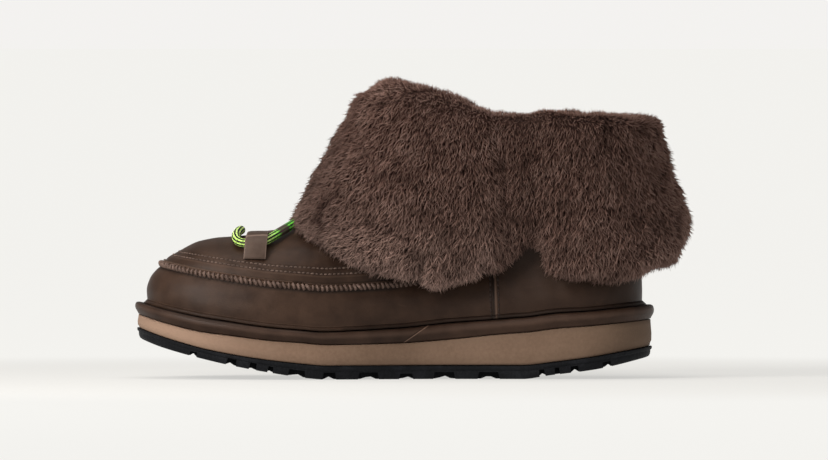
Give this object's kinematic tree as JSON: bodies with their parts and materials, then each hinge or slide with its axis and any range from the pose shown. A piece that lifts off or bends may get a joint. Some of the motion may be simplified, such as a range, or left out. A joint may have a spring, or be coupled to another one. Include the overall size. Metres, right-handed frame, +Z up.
{
  "type": "mukluk boot",
  "caption": "Right mukluk boot: smooth leather moccasin upper on a wrapped platform and lugged rocker sole, with a deep fold-down fur cuff and a round lace under a keeper strap.",
  "frame": {"origin": "middle of the whole boot's length and width, on the plane its tread stands on", "axes": "+X along the foot towards the heel, -X towards the toe; +Y to the outer side of a right foot; +Z up"},
  "size_m": [0.2889, 0.1223, 0.155],
  "materials": {
    "leather": "smooth, dull sheen",
    "fur": "dense curly wool",
    "midsole_foam": "matt foam",
    "outsole_rubber": "matt black",
    "lace_cord": "round braid, lime and black",
    "insole_wool": "short wool pile"
  },
  "bodies": {
    "root": {"outsole": "outsole_rubber", "midsole": "midsole_foam", "platform_wrap": "leather", "insole": "insole_wool", "upper": "leather", "keeper_strap": "leather", "lace": "lace_cord", "fur_cuff": "fur"}
  },
  "joints": []
}
